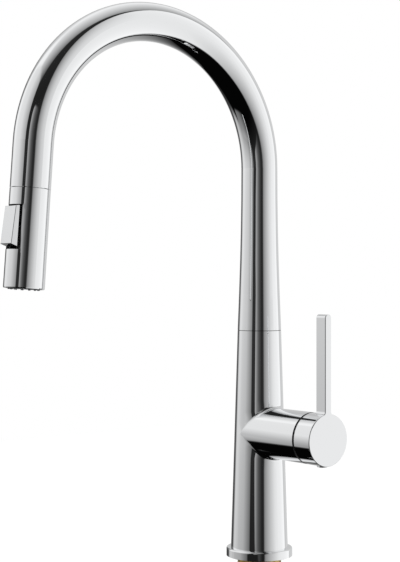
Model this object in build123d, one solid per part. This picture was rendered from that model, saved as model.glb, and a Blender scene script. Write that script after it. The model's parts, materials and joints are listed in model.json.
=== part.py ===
from build123d import *
import os
from math import atan, cos, radians, sin, sqrt, tan

# Single-lever kitchen faucet with a pull-down spray head, in millimetres.
# The origin is on the column's axis at the top of the deck. +Z is up, the spout reaches
# towards -Y, and the valve barrel with its lever points towards +X.

# Clearances
running_gap = 0.05
slip_gap = 0.1
rest_gap = 0.3
thread_gap = 0.05
arm_gap = 1.0
ball_gap = 0.2
screw_tip_gap = 0.5

# Small bevels, and the length that a cutting tool runs past a face
edge_break = 0.4
seam_bevel = 0.15
overcut = 1.0

# Column and flange
flange_radius = 25.6
flange_top_z = 7.0
flange_lift = 0.5
flange_bore = 17.3
flange_rounding = 1.3
gasket_inner_radius = 18.0
gasket_radius = 24.2
gasket_height = 2.5
foot_radius = 22.1
seam_radius = 16.9
seam_z = 175.0
seam_line = 0.4

# Inside the column
shank_entry = 15.0
hose_cavity_radius = 17.4
port_face_z = 62.0
port_ring_radius = 11.3
port_angle = 56.0
port_radius = 3.5
port_depth = 10.0
waterway_radius = 2.0
hose_bore_radius = 6.6
swivel_bore_radius = 13.6
swivel_floor_z = 140.0
grub_screw_z = 158.0
grub_screw_radius = 2.45
grub_screw_sink = 0.5
grub_socket_radius = 1.4
socket_depth = 2.0

# Deck mounting
shank_radius = 17.0
shank_bore_radius = 14.9
shank_bottom_z = -62.0
deck_thickness = 25.0
washer_inner_radius = 17.6
washer_radius = 27.0
rubber_washer_height = 3.0
steel_washer_height = 1.5
nut_across_flats = 46.0
nut_height = 12.0
nut_drop = 3.5
nut_screw_radius = 2.5
nut_screw_ring = 21.3
nut_screw_length = 28.5
nut_screw_head_radius = 4.2
nut_screw_head_height = 4.0
nut_screw_count = 3

# Spout
tube_radius = 14.0
tube_wall = 1.6
taper_length = 76.5
taper_blend = 48.5
arch_radius = 101.8
arch_turn = 175.7
drop_length = 31.75
spigot_bore_radius = 9.0
spigot_radius = 13.0
spigot_top_z = 205.0
spigot_lift = 2.5
glide_ring_height = 6.0
glide_groove_radius = 12.0
lower_ring_z = 146.0
upper_ring_z = 164.0
grub_groove_radius = 11.8
grub_groove_height = 5.6

# Dock bush in the spout's mouth, measured along the head's axis from the spray head's seam
bush_length = 24.0
cup_depth = 10.4
cup_floor_slope = 2.0
cup_lead_depth = 1.2
cup_lead_width = 0.6
collar_spigot_radius = 11.0
bush_guide_radius = 8.4

# Pull-out hose
hose_radius = 6.0
hose_bore = 4.0
hose_end_z = -66.0
ferrule_radius = 7.6
ferrule_length = 14.0
coupling_length = 20.0
coupling_neck_radius = 6.0
coupling_neck_depth = 8.0
coupling_neck_length = 5.0

# Spray head, measured along its own axis from its seam
head_length = 68.2
head_top_radius = 13.95
head_foot_radius = 14.15
head_rounding = 0.7
shell_bore_radius = 12.3
collar_height = 2.4
collar_spigot_length = 9.0
collar_lead_length = 1.6
collar_lead_width = 0.8
collar_skirt_end = 9.0
collar_bore_radius = 9.2
collar_skirt_bore = 10.4
fitting_flange_radius = 8.6
fitting_flange_height = 2.5
fitting_thread_radius = 7.5
fitting_thread_length = 9.5
core_start = 0.5
filter_height = 1.0
filter_dome_height = 2.4
filter_shoulder_height = 1.6
filter_shoulder_radius = 2.4
filter_wall = 0.7
check_valve_radius = 4.85
check_valve_length = 6.6
check_valve_mouth = 2.8
check_valve_outlet = 1.6
check_valve_groove_depth = 0.7
check_valve_steps = (2.0, 3.0, 4.0, 5.0)
spool_radius = 3.2
spool_length = 22.4
spool_start = 21.6
spool_seal_depth = 0.9
spool_seal_width = 1.6
spool_seal_spacing = 7.5
last_seal_inset = 4.0
exit_chamber_radius = 9.5
exit_chamber_depth = 15.3
face_inset = 1.0
face_thickness = 4.9
mat_height = 1.0
aerator_radius = 5.8
aerator_length = 15.2
aerator_wall = 1.2
aerator_cup_depth = 2.0
aerator_lip = 1.0
aerator_recess_radius = 4.4
aerator_recess_depth = 1.2
nozzle_radius = 0.95
nozzle_tip_radius = 0.6
nozzle_drop = 0.7
nozzle_cone = 1.2
outer_nozzle_ring = 10.3
outer_nozzle_count = 14
inner_nozzle_ring = 7.9
inner_nozzle_count = 9

# Rocker on the head's outer side
rocker_centre = 26.4
rocker_width = 14.6
rocker_rounding = 0.45
rocker_hub_width = 9.4
rocker_neck_half = 3.6
rocker_half_length = 12.95
rocker_front = 15.45
rocker_back = 10.6
rocker_tilt = 4.3
rocker_pivot = 8.0
rocker_undercut = 12.0
slot_start = 11.8
slot_end = 42.2
slot_side_gap = 2.0
slot_corner_radius = 1.0
pocket_floor = 5.9
pocket_ledge = 9.2
pocket_half_width = 5.9
rocker_pin_radius = 0.9
rocker_pin_length = 14.0
rocker_hub_radius = 1.7
rocker_arm_width = 2.0
rocker_arm_reach = 5.6
spool_groove_radius = 1.9

# Valve barrel, measured along its axis from the column's axis
barrel_z = 96.5
barrel_radius = 19.3
barrel_end = 58.95
barrel_fillet = 2.8
tilt_pivot = 44.2
valve_seat = 17.0
cartridge_radius = 13.95
nut_thread_radius = 16.4
nut_thread_start = 46.5
nut_end_gap = 0.5
nut_opening = 10.2
bonnet_seat = 57.0
bonnet_skirt_radius = 17.85
bonnet_opening = 11.2
bonnet_lip_width = 0.6
bonnet_lip_depth = 0.9
bonnet_rim_radius = 18.9
bonnet_rim_height = 1.15
spanner_slot_width = 3.0
spanner_slot_depth = 2.0
spanner_slot_end = 12.95

# Cartridge
base_height = 3.5
valve_hole_offset = 7.8
seat_hole_offset = 8.5
outlet_hole_offset = 7.0
valve_hole_radius = 2.3
base_seal_width = 1.0
base_seal_height = 1.2
disc_thickness = 3.5
fixed_disc_radius = 11.8
moving_disc_radius = 9.3
carrier_height = 6.1
disc_hollow_radius = 4.2
disc_hollow_depth = 2.0
disc_hollow_shift = 1.5
rail_inner = 5.6
rail_outer = 7.6
rail_half_length = 5.5
rail_height = 1.6
rail_groove_half_length = 9.0
cartridge_bore_radius = 12.2
rotor_gap = 0.4
rotor_length = 16.0
rotor_neck_radius = 9.2
rotor_neck_length = 4.0
rotor_neck_gap = 0.2
cartridge_top_wall = 2.2
rotor_slot_half = 6.2
rotor_slot_gap = 0.15
stem_pin_radius = 1.45
stem_pin_inset = 1.2
stem_lean = 11.0
stem_ball_radius = 2.6
stem_ball_drop = 12.5
stem_neck_radius = 1.9
stem_slot_width = 6.0
stem_width = 7.0
stem_reach = 30.4
stem_shoulder = 12.0
stem_tail = -8.6
seal_groove_start = 38.0
seal_groove_height = 2.4
seal_groove_radius = 12.9

# Handle
hub_seam_gap = 2.1
hub_face = 77.3
hub_boss_radius = 6.2
hub_boss_start = 18.5
hub_boss_end = 28.4
stem_end_gap = 0.2
lever_thickness = 9.55
lever_width = 6.0
lever_top = 92.2
lever_top_rounding = 2.6
lever_edge_rounding = 0.7
lever_foot_fillet = 2.5
handle_screw_position = 70.7
handle_screw_radius = 1.5
handle_screw_socket = 0.8
handle_screw_sink = 1.5
plug_radius = 4.0
plug_depth = 4.0
plug_proud = 0.8

# Worked out from the driving dimensions
column_slope = (foot_radius - seam_radius) / (seam_z - flange_top_z)
column_top_z = seam_z - seam_line / 2
spout_foot_z = seam_z + seam_line / 2
taper_corner_z = seam_z + taper_length
arch_start_z = taper_corner_z + taper_blend
tube_bore = tube_radius - tube_wall
bush_radius = tube_bore - running_gap
cup_radius = collar_spigot_radius + rest_gap + running_gap
shank_top_z = flange_top_z + shank_entry
ring_outer_radius = swivel_bore_radius - running_gap
fitting_start = core_start - fitting_flange_height
fitting_end = core_start + fitting_thread_length
ferrule_start = fitting_start - ferrule_length
inlet_end = fitting_end + filter_height
check_valve_end = spool_start - overcut
face_end = head_length - face_inset
face_start = face_end - face_thickness
core_end = face_start - mat_height
exit_chamber_start = core_end - exit_chamber_depth

# Frame of the spray head: its z runs down along the head, its y points away from the column
head_turn = radians(arch_turn)
head_down = Vector(0, -sin(head_turn), cos(head_turn))
arch_end = Vector(0, arch_radius * (cos(head_turn) - 1), arch_start_z + arch_radius * sin(head_turn))
head_origin = arch_end + head_down * drop_length
head_place = Plane(origin=head_origin, x_dir=(1, 0, 0), z_dir=head_down).location

# Frame of the valve barrel: its z runs out along the barrel, its x points up
valve_place = Plane(origin=(0, 0, barrel_z), x_dir=(0, 0, 1), z_dir=(1, 0, 0)).location
stem_place = Pos(0, 0, tilt_pivot) * Rot(0, stem_lean, 0)

# The bonnet's dome and the hub's hollow are spheres about the point that the lever tilts on
dome_radius = sqrt(bonnet_rim_radius**2 + (barrel_end + bonnet_rim_height - tilt_pivot) ** 2)
hub_start = barrel_end + hub_seam_gap
hollow_radius = sqrt(barrel_radius**2 + (hub_start - tilt_pivot) ** 2)

# Stack of the cartridge
fixed_disc_start = valve_seat + base_height
moving_disc_start = fixed_disc_start + disc_thickness
carrier_start = moving_disc_start + disc_thickness
rotor_start = carrier_start + carrier_height + rotor_gap
rotor_end = rotor_start + rotor_length
cartridge_top = rotor_end + rest_gap + cartridge_top_wall
disc_offset = stem_ball_drop * sin(radians(stem_lean))


def turned(*points):
    """Solid turned about Z from a closed outline of (radius, height) points."""
    corners = [(radius, 0, height) for radius, height in points]
    return revolve(make_face(Polyline(*corners, close=True).edges()), Axis.Z, 360)


def turned_edges(*edges):
    """Solid turned about Z from edges in the XZ plane that close an outline."""
    return revolve(make_face(Curve() + list(edges)), Axis.Z, 360)


def tube(inner_radius, outer_radius, start, end):
    """Straight ring about Z between two heights."""
    return turned((inner_radius, start), (outer_radius, start), (outer_radius, end), (inner_radius, end))


def rod(radius, start, end):
    """Solid round bar on Z between two heights."""
    return Pos(0, 0, start) * extrude(Circle(radius), end - start)


def block(x_range, y_range, z_range):
    """Rectangular solid between low and high values on each axis."""
    size = [high - low for low, high in (x_range, y_range, z_range)]
    middle = [(high + low) / 2 for low, high in (x_range, y_range, z_range)]
    return Pos(*middle) * Box(*size)


def dome_height(sphere_radius, radius):
    """Distance along the barrel at which a sphere about the tilt point has a given radius."""
    return tilt_pivot + sqrt(sphere_radius**2 - radius**2)


def dome_arc(sphere_radius, radius_a, radius_b):
    """Arc of a sphere about the tilt point, drawn in the XZ plane between two radii."""
    middle = (radius_a + radius_b) / 2
    points = [(radius, 0, dome_height(sphere_radius, radius)) for radius in (radius_a, middle, radius_b)]
    return ThreePointArc(*points)


def path_edges(*points):
    """Straight edges in the XZ plane through (radius, height) points."""
    return Polyline(*[(radius, 0, height) for radius, height in points]).edges()


# Deck mounting
def base_gasket():
    return tube(gasket_inner_radius, gasket_radius, 0, gasket_height)


def base_flange():
    side = flange_radius
    shoulder = flange_top_z - flange_rounding
    inner = side - flange_rounding
    bend = flange_rounding * sqrt(0.5)
    middle = (inner + bend, 0, shoulder + bend)
    rounding = ThreePointArc((inner, 0, flange_top_z), middle, (side, 0, shoulder))
    straight = path_edges(
        (side, shoulder),
        (side, flange_lift),
        (gasket_radius + slip_gap, flange_lift),
        (gasket_radius + slip_gap, gasket_height),
        (gasket_inner_radius - slip_gap, gasket_height),
        (gasket_inner_radius - slip_gap, flange_lift),
        (flange_bore, flange_lift),
        (flange_bore, flange_top_z),
        (inner, flange_top_z),
    )
    return turned_edges(rounding, *straight)


def threaded_shank():
    return chamfer(tube(shank_bore_radius, shank_radius, shank_bottom_z, shank_top_z).edges(), edge_break)


def rubber_washer():
    return tube(washer_inner_radius, washer_radius, -deck_thickness - rubber_washer_height, -deck_thickness)


def steel_washer():
    top = -deck_thickness - rubber_washer_height
    return tube(washer_inner_radius, washer_radius, top - steel_washer_height, top)


def nut_screw_places():
    """Places of the screws, on alternate corners of the nut."""
    return PolarLocations(nut_screw_ring, nut_screw_count, start_angle=90)


def mounting_nut():
    top = -deck_thickness - rubber_washer_height - steel_washer_height - nut_drop
    hexagon = RegularPolygon(nut_across_flats / 2, 6, major_radius=False, rotation=30)
    outline = hexagon - Circle(shank_radius + thread_gap)
    outline -= nut_screw_places() * Circle(nut_screw_radius + thread_gap)
    return Pos(0, 0, top - nut_height) * extrude(outline, nut_height)


def nut_screws():
    tip = -deck_thickness - rubber_washer_height - steel_washer_height
    shoulder = tip - nut_screw_length
    screw = rod(nut_screw_radius, shoulder, tip)
    head = extrude(RegularPolygon(nut_screw_head_radius, 6), -nut_screw_head_height)
    screw += Pos(0, 0, shoulder) * head
    return Compound([place * screw for place in nut_screw_places()])


# Column
def column_outline():
    """Outside of the column without its barrel."""
    return turned(
        (0, flange_top_z),
        (foot_radius, flange_top_z),
        (seam_radius, column_top_z),
        (0, column_top_z),
    )


def port_places():
    """Hot inlet, cold inlet and mixed outlet round the hose."""
    angles = (port_angle, -port_angle, 0)
    return [Rot(0, 0, angle) * Pos(port_ring_radius, 0, 0) for angle in angles]


def waterways():
    """Drillings from the ports up to the valve seat."""
    hot, cold, outlet = port_places()
    outlet_z = barrel_z - outlet_hole_offset
    reach = port_ring_radius * cos(radians(port_angle))
    drillings = rod(port_radius, port_face_z, port_face_z + port_depth)
    ports = [place * drillings for place in (hot, cold, outlet)]
    risers = [place * rod(waterway_radius, port_face_z, barrel_z) for place in (hot, cold)]
    risers.append(outlet * rod(waterway_radius, port_face_z, outlet_z))
    seat_hole = rod(waterway_radius, reach, valve_seat)
    sides = [valve_place * Pos(0, side * seat_hole_offset, 0) * seat_hole for side in (1, -1)]
    outlet_hole = rod(waterway_radius, port_ring_radius, valve_seat)
    bottom = valve_place * Pos(-outlet_hole_offset, 0, 0) * outlet_hole
    return ports + risers + sides + [bottom]


def barrel_bore():
    """Stepped hole for the cartridge, its nut and the bonnet."""
    seat_radius = cartridge_radius + slip_gap
    thread_radius = nut_thread_radius + thread_gap
    mouth = bonnet_skirt_radius + running_gap
    outline = turned(
        (0, valve_seat),
        (seat_radius, valve_seat),
        (seat_radius, nut_thread_start),
        (thread_radius, nut_thread_start),
        (thread_radius, bonnet_seat),
        (mouth, bonnet_seat),
        (mouth, barrel_end + barrel_radius),
        (0, barrel_end + barrel_radius),
    )
    return valve_place * outline


def column_bore():
    """Stepped hole up the column for the shank, the hose and the spout's spigot."""
    thread_radius = shank_radius + thread_gap
    return turned(
        (0, flange_top_z),
        (thread_radius, flange_top_z),
        (thread_radius, shank_top_z),
        (hose_cavity_radius, shank_top_z + rest_gap),
        (hose_cavity_radius, port_face_z),
        (hose_bore_radius, port_face_z),
        (hose_bore_radius, swivel_floor_z),
        (swivel_bore_radius, swivel_floor_z),
        (swivel_bore_radius, column_top_z),
        (0, column_top_z),
    )


def body_column():
    body = column_outline() + valve_place * rod(barrel_radius, 0, barrel_end)
    junction = body.edges().filter_by(GeomType.BSPLINE) + body.edges().filter_by(GeomType.OTHER)
    body = fillet(junction, barrel_fillet)
    body -= column_bore()
    body -= barrel_bore()
    for drilling in waterways():
        body -= drilling
    screw_hole = rod(grub_screw_radius + thread_gap, 0, foot_radius)
    return body - Pos(0, 0, grub_screw_z) * Rot(-90, 0, 0) * screw_hole


def spout_grub_screw():
    tip = grub_groove_radius + screw_tip_gap
    head = seam_radius + column_slope * (seam_z - grub_screw_z) - grub_screw_sink
    screw = rod(grub_screw_radius, tip, head)
    screw -= extrude(Pos(0, 0, head) * RegularPolygon(grub_socket_radius, 6), -socket_depth)
    return Pos(0, 0, grub_screw_z) * Rot(-90, 0, 0) * screw


def seam_washer():
    return tube(swivel_bore_radius + slip_gap, seam_radius - rest_gap, column_top_z, spout_foot_z)


# Spout
def spout_spigot():
    bottom = swivel_floor_z + spigot_lift
    top_radius = spigot_radius - running_gap
    grub_low = grub_screw_z - grub_groove_height / 2
    grub_high = grub_screw_z + grub_groove_height / 2
    return turned(
        (spigot_bore_radius, bottom),
        (spigot_radius, bottom),
        (spigot_radius, lower_ring_z),
        (glide_groove_radius, lower_ring_z),
        (glide_groove_radius, lower_ring_z + glide_ring_height),
        (spigot_radius, lower_ring_z + glide_ring_height),
        (spigot_radius, grub_low),
        (grub_groove_radius, grub_low),
        (grub_groove_radius, grub_high),
        (spigot_radius, grub_high),
        (spigot_radius, upper_ring_z),
        (glide_groove_radius, upper_ring_z),
        (glide_groove_radius, upper_ring_z + glide_ring_height),
        (top_radius, upper_ring_z + glide_ring_height),
        (top_radius, spigot_top_z),
        (spigot_bore_radius, spigot_top_z),
    )


def glide_ring(bottom):
    return tube(glide_groove_radius + running_gap, ring_outer_radius, bottom, bottom + glide_ring_height)


def taper_start():
    """Point where the straight taper ends and its long blend into the tube begins."""
    rise = taper_length
    narrowing = seam_radius - tube_radius
    share = taper_blend / sqrt(rise**2 + narrowing**2)
    return (tube_radius + narrowing * share, taper_corner_z - rise * share)


def taper_blend_arc():
    """Long arc, upright at its top, that the tapered foot runs into."""
    radius, height = taper_start()
    half_turn = atan((seam_radius - tube_radius) / taper_length) / 2
    blend_radius = taper_blend / tan(half_turn)
    middle_radius = tube_radius + blend_radius * (1 - cos(half_turn))
    middle_z = arch_start_z - blend_radius * sin(half_turn)
    return ThreePointArc((radius, 0, height), (middle_radius, 0, middle_z), (tube_radius, 0, arch_start_z))


def arched_bar(radius):
    """Round bar along the arch and the straight drop to the spray head."""
    section = Pos(0, 0, arch_start_z) * Circle(radius)
    bend_axis = Axis((0, -arch_radius, arch_start_z), (1, 0, 0))
    bend = revolve(section, bend_axis, arch_turn)
    return bend + head_place * rod(radius, -drop_length, -seam_line / 2)


def spout_tube():
    straight = path_edges(
        (tube_radius, arch_start_z),
        (0, arch_start_z),
        (0, spout_foot_z),
        (seam_radius, spout_foot_z),
        taper_start(),
    )
    outside = turned_edges(taper_blend_arc(), *straight) + arched_bar(tube_radius)
    bore = turned(
        (0, spout_foot_z),
        (spigot_radius, spout_foot_z),
        (spigot_radius, spigot_top_z),
        (tube_bore, spigot_top_z),
        (tube_bore, arch_start_z),
        (0, arch_start_z),
    )
    return outside - bore - arched_bar(tube_bore)


def dock_bush():
    bush = turned(
        (bush_guide_radius, -bush_length),
        (bush_radius, -bush_length),
        (bush_radius, -rest_gap),
        (cup_radius + cup_lead_width, -rest_gap),
        (cup_radius, -rest_gap - cup_lead_depth),
        (cup_radius, -cup_depth),
        (bush_guide_radius, -cup_depth - cup_floor_slope),
    )
    return head_place * bush


def hose_run(radius):
    """Round bar along the hose's route from the head's ferrule down through the shank."""
    section = Pos(0, 0, arch_start_z) * Circle(radius)
    bend = revolve(section, Axis((0, -arch_radius, arch_start_z), (1, 0, 0)), arch_turn)
    drop = head_place * rod(radius, -drop_length, ferrule_start)
    return bend + drop + rod(radius, hose_end_z, arch_start_z)


def pull_hose():
    return hose_run(hose_radius) - hose_run(hose_bore)


def hose_coupling():
    top = hose_end_z
    neck_top = top - coupling_neck_depth
    neck_end = neck_top - coupling_neck_length
    coupling = turned(
        (hose_bore, top),
        (ferrule_radius, top),
        (ferrule_radius, neck_top),
        (coupling_neck_radius, neck_top - edge_break),
        (coupling_neck_radius, neck_end),
        (ferrule_radius, neck_end - edge_break),
        (ferrule_radius, top - coupling_length + edge_break),
        (ferrule_radius - edge_break, top - coupling_length),
        (hose_bore, top - coupling_length),
    )
    return coupling


# Spray head, each piece drawn in the head's own frame
def docking_collar():
    flat = rest_gap / 2
    collar = turned(
        (collar_bore_radius, -collar_spigot_length),
        (collar_spigot_radius - collar_lead_width, -collar_spigot_length),
        (collar_spigot_radius, -collar_spigot_length + collar_lead_length),
        (collar_spigot_radius, flat),
        (head_top_radius - seam_bevel, flat),
        (head_top_radius, flat + seam_bevel),
        (head_top_radius, collar_height),
        (shell_bore_radius - slip_gap, collar_height),
        (shell_bore_radius - slip_gap, collar_skirt_end),
        (collar_skirt_bore, collar_skirt_end),
        (collar_skirt_bore, core_start),
        (collar_bore_radius, core_start),
    )
    return head_place * collar


def hose_end_fitting():
    fitting = turned(
        (hose_bore, ferrule_start),
        (ferrule_radius, ferrule_start),
        (ferrule_radius, fitting_start),
        (fitting_flange_radius, fitting_start),
        (fitting_flange_radius, core_start),
        (fitting_thread_radius, core_start),
        (fitting_thread_radius, fitting_end),
        (hose_bore, fitting_end),
    )
    return head_place * fitting


def spray_housing():
    corner_cut = head_rounding * (1 - sqrt(0.5))
    shell = turned(
        (shell_bore_radius, collar_height),
        (head_top_radius, collar_height),
        (head_foot_radius, head_length - head_rounding),
        (head_foot_radius - corner_cut, head_length - corner_cut),
        (head_foot_radius - head_rounding, head_length),
        (shell_bore_radius, head_length),
    )
    half_width = rocker_width / 2 + slot_side_gap
    slot = block((-half_width, half_width), (0, 2 * head_foot_radius), (slot_start, slot_end))
    return head_place * (shell - fillet(slot.edges().filter_by(Axis.Y), slot_corner_radius))


def spray_core():
    core_radius = shell_bore_radius - slip_gap
    core = turned(
        (0, core_start),
        (collar_skirt_bore - slip_gap, core_start),
        (collar_skirt_bore - slip_gap, collar_skirt_end),
        (core_radius, collar_skirt_end),
        (core_radius, core_end),
        (0, core_end),
    )
    core -= rod(fitting_thread_radius + thread_gap, core_start, inlet_end)
    core -= rod(check_valve_radius + running_gap, inlet_end, check_valve_end)
    core -= rod(spool_radius + running_gap, inlet_end, exit_chamber_start)
    core -= rod(exit_chamber_radius, exit_chamber_start, core_end)
    half_width = rocker_width / 2 + slot_side_gap
    slot_length = (slot_start, slot_end)
    core -= block((-half_width, half_width), (pocket_ledge, head_foot_radius), slot_length)
    core -= block((-pocket_half_width, pocket_half_width), (pocket_floor, pocket_ledge), slot_length)
    arm_room = rocker_arm_width / 2 + arm_gap
    arm_length = (rocker_centre - arm_room, rocker_centre + arm_room)
    core -= block((-arm_room, arm_room), (0, head_foot_radius), arm_length)
    pin_hole = Pos(0, rocker_pivot, rocker_centre) * Rot(0, 90, 0)
    return head_place * (core - pin_hole * Cylinder(rocker_pin_radius, rocker_pin_length + slip_gap))


def inlet_filter():
    """Sealing washer with a domed screen that reaches into the check valve's bore."""
    shoulder = inlet_end + filter_shoulder_height
    crown = inlet_end + filter_dome_height
    screen = turned(
        (0, crown),
        (filter_shoulder_radius, shoulder),
        (hose_bore, inlet_end),
        (fitting_thread_radius - slip_gap, inlet_end),
        (fitting_thread_radius - slip_gap, fitting_end),
        (hose_bore, fitting_end),
        (hose_bore - filter_wall, inlet_end),
        (filter_shoulder_radius - filter_wall, shoulder - filter_wall),
        (0, crown - filter_wall),
    )
    return head_place * screen


def check_valve():
    """Round valve with a cup at its inlet, a groove for its seal and a coned outlet."""
    start = check_valve_end - check_valve_length
    cup, groove_start, cone, groove_end = [start + step for step in check_valve_steps]
    groove_radius = check_valve_radius - check_valve_groove_depth
    valve = turned(
        (0, cup),
        (check_valve_mouth, cup),
        (check_valve_mouth, start),
        (check_valve_radius, start),
        (check_valve_radius, groove_start),
        (groove_radius, groove_start),
        (groove_radius, groove_end),
        (check_valve_radius, groove_end),
        (check_valve_radius, check_valve_end),
        (check_valve_outlet, check_valve_end),
        (check_valve_outlet, groove_end),
        (0, cone),
    )
    return head_place * valve


def spool_seal_places():
    """Distances along the head of the seal grooves on the spool."""
    first = spool_start + spool_seal_depth
    return (first, first + spool_seal_spacing, spool_start + spool_length - last_seal_inset)


def diverter_spool():
    spool = rod(spool_radius, spool_start, spool_start + spool_length)
    groove_half = rocker_arm_width / 2 + rest_gap + slip_gap
    middle = rocker_centre + rocker_arm_reach * sin(radians(rocker_tilt))
    spool -= tube(spool_groove_radius, 2 * spool_radius, middle - groove_half, middle + groove_half)
    for start in spool_seal_places():
        spool -= tube(spool_radius - spool_seal_depth, 2 * spool_radius, start, start + spool_seal_width)
    return head_place * spool


def spool_seals():
    inner = spool_radius - spool_seal_depth + running_gap
    ring = tube(inner, spool_radius + running_gap / 2, slip_gap, spool_seal_width - slip_gap)
    return head_place * Compound([Pos(0, 0, start) * ring for start in spool_seal_places()])


def rocker_outline():
    """Side view of the rocker when it stands midway, as (along the head, away from it) points."""
    slant = (rocker_front - rocker_back) * tan(radians(rocker_undercut))
    front_end = rocker_half_length
    back_end = rocker_half_length + slant
    return Polyline(
        (-front_end, rocker_front),
        (front_end, rocker_front),
        (back_end, rocker_back),
        (-back_end, rocker_back),
        close=True,
    )


def rocker_button():
    """Rocker at rest, with its lower end out."""
    side_view = make_face(rocker_outline().edges())
    view_plane = Plane(origin=(0, 0, 0), x_dir=(0, 0, 1), z_dir=(-1, 0, 0))
    bar = extrude(view_plane * side_view, rocker_width / 2, both=True)
    front = bar.faces().sort_by(Axis.Y)[-1]
    bar = fillet(front.edges(), rocker_rounding)
    hub = Pos(0, rocker_pivot, 0) * Rot(0, 90, 0) * Cylinder(rocker_hub_radius, rocker_hub_width)
    neck_width = (-rocker_neck_half, rocker_neck_half)
    neck_height = (rocker_pivot, rocker_back + edge_break)
    neck = block(neck_width, neck_height, (-rocker_hub_radius, rocker_hub_radius))
    arm_end = rocker_pivot - rocker_arm_reach
    arm_half = rocker_arm_width / 2
    arm = block((-arm_half, arm_half), (arm_end, rocker_pivot), (-arm_half, arm_half))
    rocker = bar + hub + neck + arm
    pin_hole = Cylinder(rocker_pin_radius + running_gap, rocker_hub_width + overcut)
    rocker -= Pos(0, rocker_pivot, 0) * Rot(0, 90, 0) * pin_hole
    turn = Pos(0, rocker_pivot, rocker_centre) * Rot(-rocker_tilt, 0, 0) * Pos(0, -rocker_pivot, 0)
    return head_place * turn * rocker


def rocker_pin():
    place = Pos(0, rocker_pivot, rocker_centre) * Rot(0, 90, 0)
    return head_place * place * Cylinder(rocker_pin_radius, rocker_pin_length)


def aerator():
    end = face_end
    start = end - aerator_length
    insert = turned(
        (0, start + aerator_cup_depth),
        (aerator_radius - aerator_wall, start + aerator_cup_depth),
        (aerator_radius - aerator_wall, start),
        (aerator_radius, start),
        (aerator_radius, end),
        (aerator_radius - aerator_lip, end),
        (aerator_recess_radius, end - aerator_recess_depth),
        (0, end - aerator_recess_depth),
    )
    return head_place * insert


def nozzle_places():
    """Places of the spray nozzles on their two rings."""
    outer = PolarLocations(outer_nozzle_ring, outer_nozzle_count)
    inner = PolarLocations(inner_nozzle_ring, inner_nozzle_count)
    return list(outer) + list(inner)


def nozzle_mat():
    start = core_end
    tip = head_length + nozzle_drop
    mat = tube(aerator_radius + slip_gap, shell_bore_radius - slip_gap, start, face_start)
    nozzle = turned(
        (0, start),
        (nozzle_radius, start),
        (nozzle_radius, tip - nozzle_cone),
        (nozzle_tip_radius, tip),
        (0, tip),
    )
    for place in nozzle_places():
        mat += place * nozzle
    return head_place * mat


def spray_face():
    plate = tube(aerator_radius + running_gap, shell_bore_radius - slip_gap, face_start, face_end)
    hole = rod(nozzle_radius + running_gap, face_start, face_end)
    for place in nozzle_places():
        plate -= place * hole
    return head_place * plate


# Cartridge, each piece drawn in the valve barrel's frame
def valve_holes():
    """Places of the hot, cold and outlet holes through the cartridge's foot and fixed disc."""
    return (Pos(0, valve_hole_offset, 0), Pos(0, -valve_hole_offset, 0), Pos(-outlet_hole_offset, 0, 0))


def cartridge_base():
    base = rod(cartridge_radius, valve_seat, fixed_disc_start)
    hole = rod(valve_hole_radius, valve_seat, fixed_disc_start)
    groove_radius = valve_hole_radius + base_seal_width + slip_gap
    groove = rod(groove_radius, valve_seat, valve_seat + base_seal_height)
    for place in valve_holes():
        base -= place * hole
        base -= place * groove
    return valve_place * base


def base_seals():
    inner = valve_hole_radius
    ring = tube(inner, inner + base_seal_width, valve_seat, valve_seat + base_seal_height)
    return valve_place * Compound([place * ring for place in valve_holes()])


def fixed_disc():
    disc = rod(fixed_disc_radius, fixed_disc_start, moving_disc_start)
    hole = rod(valve_hole_radius, fixed_disc_start, moving_disc_start)
    for place in valve_holes():
        disc -= place * hole
    return valve_place * disc


def moving_disc():
    """Disc at rest, slid down so that its hollow joins no inlet to the outlet."""
    disc = rod(moving_disc_radius, moving_disc_start, carrier_start)
    hollow = rod(disc_hollow_radius, moving_disc_start, moving_disc_start + disc_hollow_depth)
    disc -= Pos(-disc_hollow_shift, 0, 0) * hollow
    return valve_place * Pos(-disc_offset, 0, 0) * disc


def rail_range(side, gap):
    """Sideways span of a carrier rail, or of its groove when the gap is not nought."""
    low, high = rail_inner - gap, rail_outer + gap
    return (low, high) if side > 0 else (-high, -low)


def disc_carrier():
    end = carrier_start + carrier_height
    ball_centre = tilt_pivot - stem_ball_drop * cos(radians(stem_lean))
    carrier = rod(moving_disc_radius, carrier_start, end)
    carrier -= rod(stem_ball_radius + ball_gap, ball_centre - stem_ball_radius - rest_gap, end)
    length = (-rail_half_length, rail_half_length)
    for side in (1, -1):
        carrier += block(length, rail_range(side, 0), (end - edge_break, end + rail_height))
    return valve_place * Pos(-disc_offset, 0, 0) * carrier


def stem_rotor():
    rotor = turned(
        (0, rotor_start),
        (cartridge_bore_radius - slip_gap, rotor_start),
        (cartridge_bore_radius - slip_gap, rotor_end),
        (rotor_neck_radius, rotor_end),
        (rotor_neck_radius, rotor_end + rotor_neck_length),
        (0, rotor_end + rotor_neck_length),
    )
    slot_half = stem_slot_width / 2 + rotor_slot_gap
    slot = (rotor_start, rotor_end + rotor_neck_length)
    rotor -= block((-rotor_slot_half, rotor_slot_half), (-slot_half, slot_half), slot)
    length = (-rail_groove_half_length, rail_groove_half_length)
    for side in (1, -1):
        rotor -= block(length, rail_range(side, rest_gap), (rotor_start, rotor_start + rail_height))
    pin_hole = Cylinder(stem_pin_radius + running_gap, 4 * cartridge_radius)
    return valve_place * (rotor - Pos(0, 0, tilt_pivot) * Rot(90, 0, 0) * pin_hole)


def stem_pin():
    length = 2 * (cartridge_bore_radius - stem_pin_inset)
    return valve_place * Pos(0, 0, tilt_pivot) * Rot(90, 0, 0) * Cylinder(stem_pin_radius, length)


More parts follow.
